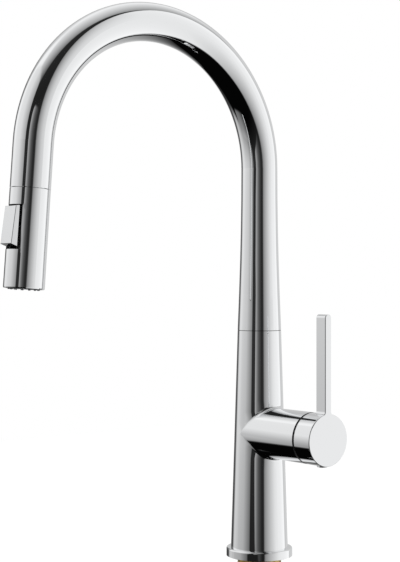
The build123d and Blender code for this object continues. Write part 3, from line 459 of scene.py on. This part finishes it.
def add_braid(tree, settings, around, along):
    """Nylon yarn braided over a hose: grey strands that cross on the slant, each one rounded, with painted shade
    that darkens each strand towards its edges in the grooves, and a random fuzz in tone.
    Around and along are places on the hose in metres."""
    slant_a = node(tree, "ShaderNodeMath", {0: around, 1: along}, operation="ADD")
    slant_b = node(tree, "ShaderNodeMath", {0: around, 1: along}, operation="SUBTRACT")
    count_a = node(tree, "ShaderNodeMath", {0: slant_a, 1: settings.strand_width}, operation="DIVIDE")
    count_b = node(tree, "ShaderNodeMath", {0: slant_b, 1: settings.strand_width}, operation="DIVIDE")
    rounds = []
    for count in (count_a, count_b):
        across = node(tree, "ShaderNodeMath", {0: count}, operation="FRACT")
        across = node(tree, "ShaderNodeMath", {0: across, 1: pi}, operation="MULTIPLY")
        rounds.append(node(tree, "ShaderNodeMath", {0: across}, operation="SINE"))
    cell = node(tree, "ShaderNodeCombineXYZ", {0: count_a, 1: count_b, 2: 0.5})
    over = node(tree, "ShaderNodeTexChecker", {"Vector": cell, "Scale": 1.0})
    height = node(tree, "ShaderNodeMix", {0: over.outputs["Fac"], 2: rounds[0], 3: rounds[1]})
    fuzz = node(tree, "ShaderNodeTexNoise", {"Vector": cell, "Scale": 6.0, "Detail": 3.0})
    # painted shade: the colour darkens where a strand dips into the grooves between strands, and the fuzz varies
    # the tone at random
    groove_shade_and_fuzz = node(tree, "ShaderNodeMath", {0: height, 1: fuzz}, operation="MULTIPLY")
    colour = node(tree, "ShaderNodeValToRGB", {0: groove_shade_and_fuzz})
    set_stops(colour, [(0.05, linear("#3c3e40")), (0.35, linear("#7c7f82")), (0.62, linear("#a4a7a9"))])
    relief = node(tree, "ShaderNodeBump", {"Strength": 0.8, "Distance": 0.00015, "Height": height})
    shader = node(tree, "ShaderNodeBsdfPrincipled", {
        "Base Color": colour, "Roughness": 0.5, "IOR": 1.53, "Sheen Weight": 0.15, "Normal": relief})
    node(tree, "ShaderNodeOutputMaterial", {0: shader})


def braid_by_place(settings):
    """The braid where the hose stands on the column's axis, laid on from where each point is."""
    made, tree = new_material("Nylon yarn braided")
    place = node(tree, "ShaderNodeTexCoord").outputs["Object"]
    axes = node(tree, "ShaderNodeSeparateXYZ", {0: place})
    turn = node(tree, "ShaderNodeMath", {0: axes.outputs["Y"], 1: axes.outputs["X"]}, operation="ARCTAN2")
    around = node(tree, "ShaderNodeMath", {0: turn, 1: settings.hose_radius}, operation="MULTIPLY")
    add_braid(tree, settings, around, axes.outputs["Z"])
    return made


def braid_by_map(settings):
    """The braid on the stretch of hose that comes out of the spout, laid on from its own unrolled map."""
    made, tree = new_material("Nylon yarn braided unrolled")
    place = node(tree, "ShaderNodeTexCoord").outputs["UV"]
    axes = node(tree, "ShaderNodeSeparateXYZ", {0: place})
    add_braid(tree, settings, axes.outputs["X"], axes.outputs["Y"])
    return made


def finish_named(name):
    """A material that the finishes step has made."""
    made = bpy.data.materials.get(name)
    if made is None:
        raise RuntimeError("there is no material named " + name + ": give the faucet its finishes first")
    return made


# Forms

def turned_form(outline, count, closed=True):
    """Points and faces of a form turned about z, from an outline of (radius, height)."""
    size = len(outline)
    points, faces = [], []
    for step in range(count):
        turn = 2 * pi * step / count
        points += [(radius * cos(turn), radius * sin(turn), height) for radius, height in outline]
    for step in range(count):
        here, after = step * size, (step + 1) % count * size
        for i in range(size if closed else size - 1):
            j = (i + 1) % size
            faces.append((here + i, after + i, after + j, here + j))
    return points, faces


def thread_depth(pitch):
    """Depth of an outside metric thread."""
    return 0.6134 * pitch


def threaded_form(crest, pitch, low, high, count):
    """Points and faces of an outside metric thread that runs out at both ends into a 45 degree chamfer."""
    root = crest - thread_depth(pitch)
    ridge = ((0.0, root), (0.354, crest), (0.479, crest), (0.833, root))
    turns = ceil((high - low) / pitch) + 1
    points, faces = [], []
    for step in range(turns * count + 1):
        turn = 2 * pi * step / count
        for share, radius in ridge:
            height = min(max(low + (step / count - 1 + share) * pitch, low), high)
            reach = min(radius, root + min(height - low, high - height))
            points.append((reach * cos(turn), reach * sin(turn), height))
    size = len(ridge)
    for step in range(turns * count):
        for i in range(size):
            a, b = step * size + i, (step + 1) * size + i
            lift = 1 if i < size - 1 else count * size - size + 1
            if b + lift < len(points):
                faces.append((a, b, b + lift, a + lift))
    return points, faces


def hexagon_head_form(across_corners, low, high, count):
    """Points and faces of a hexagon head whose free end, the low one, is chamfered to the usual six arcs."""
    flat = across_corners / 2 * cos(radians(30))
    end_face = flat * 0.96
    outlines = []
    for step in range(count):
        turn = 2 * pi * step / count
        reach = flat / cos((turn + radians(30)) % radians(60) - radians(30))
        drop = (reach - end_face) / 2
        outline = ((0.0, high), (reach, high), (reach, low + drop), (end_face, low), (0.0, low))
        outlines.append((turn, outline))
    points = [(r * cos(turn), r * sin(turn), h) for turn, outline in outlines for r, h in outline]
    faces = []
    size = len(outline)
    for step in range(count):
        here, after = step * size, (step + 1) % count * size
        faces += [(here + i, after + i, after + i + 1, here + i + 1) for i in range(size - 1)]
    return points, faces


def joined(*forms):
    """Several forms as one list of points and one of faces."""
    points, faces = [], []
    for form_points, form_faces in forms:
        start = len(points)
        points += form_points
        faces += [tuple(start + i for i in face) for face in form_faces]
    return points, faces


def moved(form, place):
    """A form carried to a place."""
    points, faces = form
    return [tuple(place @ Vector(point)) for point in points], faces


def new_piece(name, form, look, sharp=32):
    """A new object in the row frame, smooth except along its sharp edges."""
    mesh = bpy.data.meshes.new(name)
    mesh.from_pydata(form[0], [], form[1])
    tidy = bmesh.new()
    tidy.from_mesh(mesh)
    bmesh.ops.remove_doubles(tidy, verts=tidy.verts, dist=2e-6)
    bmesh.ops.dissolve_degenerate(tidy, edges=tidy.edges, dist=1e-6)
    bmesh.ops.recalc_face_normals(tidy, faces=tidy.faces)
    tidy.to_mesh(mesh)
    tidy.free()
    mesh.shade_smooth()
    mesh.set_sharp_from_angle(angle=radians(sharp))
    mesh.materials.append(look)
    piece = bpy.data.objects.new(name, mesh)
    bpy.context.scene.collection.objects.link(piece)
    return piece


# Settings

class FaucetStageSettings(PropertyGroup):
    view_turn: FloatProperty(
        name="View turn", default=51.81,
        description="Way round that the camera looks from, in degrees from straight in front")
    camera_lens: FloatProperty(
        name="Lens", default=84.59, description="Focal length for a 36 mm frame height")
    studio_level: FloatProperty(
        name="Panels", default=1.0, min=0.0, description="Brightness of the lit panels that metal reflects")
    fill_level: FloatProperty(
        name="Fill", default=0.75, min=0.0, description="Brightness of the plain light on matt surfaces")
    key_power: FloatProperty(
        name="Key", default=6.0, min=0.0, unit="POWER",
        description="Power of the soft lamp that casts the shadow")


class FaucetFinishSettings(PropertyGroup):
    chrome_colour: FloatVectorProperty(
        name="Chrome", subtype="COLOR", default=linear("#f0f1f2")[:3], min=0.0, max=1.0,
        description="Reflected colour of the chromium plate")
    button_colour: FloatVectorProperty(
        name="Button", subtype="COLOR", default=linear("#dfe0e1")[:3], min=0.0, max=1.0,
        description="Reflected colour of the rocker's plate")
    chrome_sharp: FloatProperty(
        name="Sharpest gloss", default=0.012, min=0.0, max=1.0,
        description="Roughness of the best buffed plate")
    chrome_soft: FloatProperty(
        name="Softest gloss", default=0.026, min=0.0, max=1.0,
        description="Roughness of the least buffed plate")
    brass_colour: FloatVectorProperty(
        name="Brass", subtype="COLOR", default=linear("#efd79a")[:3], min=0.0, max=1.0,
        description="Colour of fresh turned brass")
    nozzle_colour: FloatVectorProperty(
        name="Nozzles", subtype="COLOR", default=linear("#4d4f51")[:3], min=0.0, max=1.0,
        description="Colour of the silicone nozzles")
    hose_radius: FloatProperty(
        name="Hose radius", default=0.0059, unit="LENGTH", precision=4,
        description="Radius of the braided hose")
    strand_width: FloatProperty(
        name="Strand", default=0.00131, unit="LENGTH", precision=5,
        description="Distance between strands of the braid")


class FaucetMountSettings(PropertyGroup):
    shank_radius: FloatProperty(
        name="Shank radius", default=0.0170, unit="LENGTH", precision=4,
        description="Radius over the shank's thread")
    shank_bore: FloatProperty(
        name="Shank bore", default=0.0149, unit="LENGTH", precision=4,
        description="Radius of the way through the shank")
    shank_pitch: FloatProperty(
        name="Shank pitch", default=0.0015, unit="LENGTH", precision=4,
        description="Pitch of the shank's thread")
    screw_radius: FloatProperty(
        name="Screw radius", default=0.0025, unit="LENGTH", precision=4,
        description="Radius over a clamping screw's thread")
    screw_pitch: FloatProperty(
        name="Screw pitch", default=0.0008, unit="LENGTH", precision=4,
        description="Pitch of a clamping screw's thread")
    screw_head: FloatProperty(
        name="Screw head", default=0.0084, unit="LENGTH", precision=4,
        description="Width of a screw's head across its corners")
    screw_head_height: FloatProperty(
        name="Head height", default=0.004, unit="LENGTH", precision=4,
        description="Height of a screw's head")
    screw_ring: FloatProperty(
        name="Screw ring", default=0.0213, unit="LENGTH", precision=4,
        description="Distance of the screws from the shank's axis")


class FaucetSpraySettings(PropertyGroup):
    outer_ring: FloatProperty(
        name="Outer ring", default=0.0103, unit="LENGTH", precision=4,
        description="Radius of the outer ring of nozzles")
    outer_count: IntProperty(name="Outer nozzles", description="Nozzles on the outer ring", default=14)
    inner_ring: FloatProperty(
        name="Inner ring", default=0.0079, unit="LENGTH", precision=4,
        description="Radius of the inner ring of nozzles")
    inner_count: IntProperty(name="Inner nozzles", description="Nozzles on the inner ring", default=9)
    nozzle_radius: FloatProperty(
        name="Nozzle radius", default=0.00095, unit="LENGTH", precision=5,
        description="Radius of a nozzle's root")
    tip_radius: FloatProperty(
        name="Tip radius", default=0.0006, unit="LENGTH", precision=5,
        description="Radius of a nozzle's tip")
    jet_radius: FloatProperty(
        name="Jet radius", default=0.0003, unit="LENGTH", precision=5,
        description="Radius of the hole in a nozzle")
    wire_spacing: FloatProperty(
        name="Screen spacing", default=0.0009, unit="LENGTH", precision=5,
        description="Distance between wires of the aerator's screen")
    wire_radius: FloatProperty(
        name="Wire radius", default=0.00016, unit="LENGTH", precision=5,
        description="Radius of a wire of the aerator's screen")


class FaucetHoseSettings(PropertyGroup):
    start: FloatProperty(
        name="Start", default=-0.056, unit="LENGTH", precision=4,
        description="Where the free hose starts, along the head from its seam")
    end: FloatProperty(
        name="End", default=-0.015, unit="LENGTH", precision=4,
        description="Where the free hose ends, along the head from its seam")


# Operators

class FAUCET_OT_stage(Operator):
    """Sets up the floor, the light and the camera"""
    bl_idname = "faucet.stage"
    bl_label = "Studio and camera"

    def execute(self, context):
        settings = context.scene.faucet_stage
        studio_world(settings)
        # The faucet is shown without its worktop, and its head can be pulled down far below it, so the
        # floor lies just under the head's lowest reach.
        pulled = JOINTS["head_pull_out"]["range_m"][1] * HEAD_DOWN.z
        level = min(LOADED_BOX[0].z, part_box("nozzle_mat")[0].z + pulled) - FLOOR_GAP
        floor_mesh = bpy.data.meshes.new("floor")
        sides = ((-1, -1), (1, -1), (1, 1), (-1, 1))
        corners = [(x * FLOOR_REACH, y * FLOOR_REACH, level) for x, y in sides]
        floor_mesh.from_pydata(corners, [], [(0, 1, 2, 3)])
        floor = bpy.data.objects.new("floor", floor_mesh)
        context.scene.collection.objects.link(floor)
        floor.visible_glossy = False
        floor_mesh.materials.append(self.floor_paint())

        lamp = bpy.data.lights.new("key", "AREA")
        lamp.size = KEY_SIZE
        lamp.energy = settings.key_power
        key = bpy.data.objects.new("key", lamp)
        key.location = KEY_PLACE
        key.rotation_euler = (KEY_AIM - key.location).to_track_quat("-Z", "Y").to_euler()
        key.visible_glossy = False
        context.scene.collection.objects.link(key)

        camera_data = bpy.data.cameras.new("camera")
        camera_data.lens = settings.camera_lens
        camera_data.sensor_width = CAMERA_FRAME
        camera_data.clip_start = 0.01
        camera = bpy.data.objects.new("camera", camera_data)
        camera.location = CAMERA_PLACE
        camera.rotation_euler = Euler((radians(90 - CAMERA_DIP), 0.0, radians(settings.view_turn)))
        context.scene.collection.objects.link(camera)
        context.scene.camera = camera
        context.scene.view_settings.view_transform = "Standard"
        return {"FINISHED"}

    def floor_paint(self):
        """Matt pale paint, lifted to white where the camera sees it; shadows still show on it."""
        made, tree = new_material("Studio floor painted")
        ray = node(tree, "ShaderNodeLightPath")
        matt = node(tree, "ShaderNodeBsdfDiffuse", {"Color": linear("#f0f0f0")})
        glow = node(tree, "ShaderNodeEmission", {"Color": (1, 1, 1, 1), "Strength": FLOOR_LIFT})
        both = node(tree, "ShaderNodeAddShader", {0: matt, 1: glow})
        seen = node(tree, "ShaderNodeMixShader", {0: ray.outputs["Is Camera Ray"], 1: matt, 2: both})
        node(tree, "ShaderNodeOutputMaterial", {0: seen})
        return made


class FAUCET_OT_finishes(Operator):
    """Gives every part of the model its finish"""
    bl_idname = "faucet.finishes"
    bl_label = "Finishes"

    def execute(self, context):
        settings = context.scene.faucet_finish
        looks = {
            "polished_chrome": chromium_on_brass(settings),
            "turned_brass": turned_brass(settings),
            "zinc_steel": zinc_plated_steel(),
            "stainless_steel": drawn_stainless(),
            "black_rubber": moulded_rubber(),
            "black_plastic": moulded_nylon(),
            "white_acetal": turned_acetal(),
            "grey_plastic": moulded_abs(),
            "grey_silicone": moulded_silicone(settings),
            "nylon_braid": braid_by_place(settings),
            "ceramic": lapped_alumina(),
        }
        braid_by_map(settings)
        button = chromium_on_plastic(settings)
        for name, solid in frame["nodes"].items():
            solid.data.materials.clear()
            solid.data.materials.append(button if name == "rocker_button" else looks[SLOTS[name]])
        return {"FINISHED"}


class FAUCET_OT_mounting(Operator):
    """Cuts the threads of the shank and of the clamping screws under the deck"""
    bl_idname = "faucet.mounting"
    bl_label = "Shank and clamping screws"

    def execute(self, context):
        settings = context.scene.faucet_mount
        low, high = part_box("threaded_shank")
        crest, bore = settings.shank_radius, settings.shank_bore
        rim = crest - thread_depth(settings.shank_pitch)
        chamfer = 0.0003
        sides = 72
        inside = [(rim, low.z), (bore + chamfer, low.z), (bore, low.z + chamfer),
                  (bore, high.z - chamfer), (bore + chamfer, high.z), (rim, high.z)]
        shank = joined(
            threaded_form(crest, settings.shank_pitch, low.z, high.z, sides),
            turned_form(inside, sides, closed=False),
        )
        piece = new_piece("shank_thread", shank, finish_named("Brass turned"))
        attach(piece, "root")
        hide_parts("threaded_shank")

        low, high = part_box("nut_screws")
        shoulder = low.z + settings.screw_head_height
        rim = settings.screw_radius - thread_depth(settings.screw_pitch)
        thread_sides, head_sides = 20, 48
        screw = joined(
            threaded_form(settings.screw_radius, settings.screw_pitch, shoulder, high.z, thread_sides),
            turned_form([(0.0, high.z), (rim, high.z)], thread_sides, closed=False),
            hexagon_head_form(settings.screw_head, low.z, shoulder, head_sides),
        )
        screws = []
        for third in range(3):
            turn = radians(90 + 120 * third)
            spot = (settings.screw_ring * cos(turn), settings.screw_ring * sin(turn), 0.0)
            screws.append(moved(screw, Matrix.Translation(spot)))
        piece = new_piece("clamping_screws", joined(*screws), finish_named("Steel zinc plated"))
        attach(piece, "root")
        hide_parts("nut_screws")
        return {"FINISHED"}


class FAUCET_OT_spray_face(Operator):
    """Makes the soft nozzles and the aerator's screen at the end of the spray head"""
    bl_idname = "faucet.spray_face"
    bl_label = "Nozzles and aerator"

    def execute(self, context):
        settings = context.scene.faucet_spray
        self.nozzles(settings)
        self.aerator(settings)
        return {"FINISHED"}

    def ends(self, name):
        """Where a part of the head starts and ends along it, from the seam."""
        solid = frame["nodes"][name]
        along = [(corner.co - HEAD_SEAM).dot(HEAD_DOWN) for corner in solid.data.vertices]
        return min(along), max(along)

    def nozzles(self, settings):
        start, tip = self.ends("nozzle_mat")
        plate_end = self.ends("spray_face")[0]
        web_inner, web_outer, web_sides = 0.0059, 0.0122, 64
        web = [(web_inner, start), (web_outer, start), (web_outer, plate_end), (web_inner, plate_end)]
        forms = [turned_form(web, web_sides)]

        # each nozzle is a short post, a cone from a rounded shoulder to a rounded lip, and a blind hole
        wide, narrow, jet = settings.nozzle_radius, settings.tip_radius, settings.jet_radius
        cone_height, hole_depth, nozzle_sides = 0.0012, 0.0016, 16
        shoulder_in, shoulder_up = 0.00008, 0.0002
        lip_out, lip_down = 0.00012, 0.00018
        rim_in, rim_down, hole_down = 0.0001, 0.00004, 0.00005
        shoulder = tip - cone_height
        outline = [
            (wide, start), (wide, shoulder), (wide - shoulder_in, shoulder + shoulder_up),
            (narrow + lip_out, tip - lip_down), (narrow, tip - rim_down), (narrow - rim_in, tip),
            (jet, tip - hole_down), (jet, tip - hole_depth), (0.0, tip - hole_depth)]
        nozzle = turned_form(outline, nozzle_sides, closed=False)
        rings = ((settings.outer_ring, settings.outer_count), (settings.inner_ring, settings.inner_count))
        for ring, count in rings:
            for step in range(count):
                turn = 2 * pi * step / count
                forms.append(moved(nozzle, Matrix.Translation((ring * cos(turn), ring * sin(turn), 0.0))))
        look = finish_named("Silicone rubber moulded")
        piece = new_piece("soft_nozzles", moved(joined(*forms), HEAD_PLACE), look)
        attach(piece, "spray_head")
        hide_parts("nozzle_mat")

    def aerator(self, settings):
        start, end = self.ends("aerator")
        outside, wall, recess, depth = 0.0058, 0.0012, 0.0044, 0.0012
        hollow, chamfer, cup_sides = 0.002, 0.0002, 64
        mouth_out, mouth_in = 0.0005, 0.0003
        outline = [
            (0.0, start + hollow), (outside - wall, start + hollow), (outside - wall, start),
            (outside, start), (outside, end - chamfer), (outside - chamfer, end), (recess + mouth_out, end),
            (recess + mouth_in, end - mouth_in), (recess, end - depth), (0.0, end - depth)]
        cup = turned_form(outline, cup_sides, closed=False)
        look = finish_named("ABS moulded satin")
        piece = new_piece("aerator_cup", moved(cup, HEAD_PLACE), look)
        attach(piece, "spray_head")
        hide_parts("aerator")

        wires = []
        screen_depth, first_wire = 0.0005, 0.45
        level = end - screen_depth
        for over in (1, -1):
            line = -recess + settings.wire_spacing * first_wire
            while line < recess:
                half = (recess ** 2 - line ** 2) ** 0.5
                wires.append(self.wire(settings, recess, line, half, level, over))
                line += settings.wire_spacing
        look = finish_named("Stainless steel drawn")
        mesh = moved(joined(*wires), HEAD_PLACE)
        screen = new_piece("aerator_screen", mesh, look, sharp=80)
        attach(screen, "spray_head")

    def wire(self, settings, recess, line, half, level, over):
        """One wire of the screen, which goes over and under the wires that cross it."""
        steps, sides = 24, 6
        phase = pi * round((line + recess) / settings.wire_spacing)
        points, faces = [], []
        for step in range(steps + 1):
            way = -half + 2 * half * step / steps
            swing = cos(pi * (way + recess) / settings.wire_spacing + phase)
            lift = level + over * settings.wire_radius * swing
            for side in range(sides):
                turn = 2 * pi * side / sides
                spread = settings.wire_radius * cos(turn)
                height = lift + settings.wire_radius * sin(turn)
                points.append((way, line + spread, height) if over > 0 else (line + spread, way, height))
        for step in range(steps):
            for side in range(sides):
                a, b = step * sides + side, step * sides + (side + 1) % sides
                faces.append((a, b, b + sides, a + sides))
        faces += [tuple(range(sides)), tuple(steps * sides + side for side in range(sides))]
        return points, faces


class FAUCET_OT_hose(Operator):
    """Makes a stretch of braided hose along the head's axis, just above its seam"""
    bl_idname = "faucet.hose"
    bl_label = "Pull-out hose"

    def execute(self, context):
        settings = context.scene.faucet_hose
        finish = context.scene.faucet_finish
        travel = JOINTS["head_pull_out"]["range_m"][1]
        length = settings.end - settings.start
        rings, sides, halvings = 150, 48, 40
        radius = finish.hose_radius

        # Rings are spaced so that they would stand evenly if the hose were drawn out to the head's full reach; the
        # map is unrolled at that length.
        shares = []
        for ring in range(rings + 1):
            wanted = (length + travel) * ring / rings
            low, high = 0.0, 1.0
            for _ in range(halvings):
                middle = (low + high) / 2
                reached = length * middle + travel * middle * middle * (3 - 2 * middle)
                low, high = (middle, high) if reached < wanted else (low, middle)
            shares.append(low)

        mesh = bpy.data.meshes.new("pull_out_hose")
        points = []
        for share in shares:
            along = settings.start + length * share
            for side in range(sides):
                turn = 2 * pi * side / sides
                points.append(HEAD_PLACE @ Vector((radius * cos(turn), radius * sin(turn), along)))
        faces, places = [], []
        for ring in range(rings):
            for side in range(sides):
                after = (side + 1) % sides
                here, ahead = ring * sides, (ring + 1) * sides
                faces.append((here + side, here + after, ahead + after, ahead + side))
                left, right = [2 * pi * radius * edge / sides for edge in (side, side + 1)]
                low, high = [(length + travel) * edge / rings for edge in (ring, ring + 1)]
                places += [(left, low), (right, low), (right, high), (left, high)]
        mesh.from_pydata(points, [], faces)
        unrolled = mesh.uv_layers.new(name="unrolled")
        unrolled.data.foreach_set("uv", [value for place in places for value in place])
        mesh.shade_smooth()
        mesh.materials.append(finish_named("Nylon yarn braided unrolled"))
        piece = bpy.data.objects.new("pull_out_hose", mesh)
        context.scene.collection.objects.link(piece)
        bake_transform(piece)
        return {"FINISHED"}


class FAUCET_PT_panel(Panel):
    """Lists the faucet's steps and the sizes they read"""
    bl_label = "Kitchen faucet"
    bl_idname = "FAUCET_PT_panel"
    bl_space_type = "VIEW_3D"
    bl_region_type = "UI"
    bl_category = "Faucet"

    def draw(self, context):
        for step, group in zip(STEPS, GROUPS):
            self.layout.operator(step.bl_idname)
            settings = getattr(context.scene, group)
            for name in settings.__annotations__:
                self.layout.prop(settings, name)


STEPS = (FAUCET_OT_stage, FAUCET_OT_finishes, FAUCET_OT_mounting, FAUCET_OT_spray_face, FAUCET_OT_hose)
GROUPS = {
    "faucet_stage": FaucetStageSettings,
    "faucet_finish": FaucetFinishSettings,
    "faucet_mount": FaucetMountSettings,
    "faucet_spray": FaucetSpraySettings,
    "faucet_hose": FaucetHoseSettings,
}
CLASSES = tuple(GROUPS.values()) + STEPS + (FAUCET_PT_panel,)


def register():
    for each in CLASSES:
        bpy.utils.register_class(each)
    for name, group in GROUPS.items():
        setattr(bpy.types.Scene, name, PointerProperty(type=group))


def unregister():
    for name in GROUPS:
        delattr(bpy.types.Scene, name)
    for each in reversed(CLASSES):
        bpy.utils.unregister_class(each)


def main():
    register()
    bpy.ops.faucet.stage()
    bpy.ops.faucet.finishes()
    bpy.ops.faucet.mounting()
    bpy.ops.faucet.spray_face()
    bpy.ops.faucet.hose()


if __name__ == "__main__":
    main()
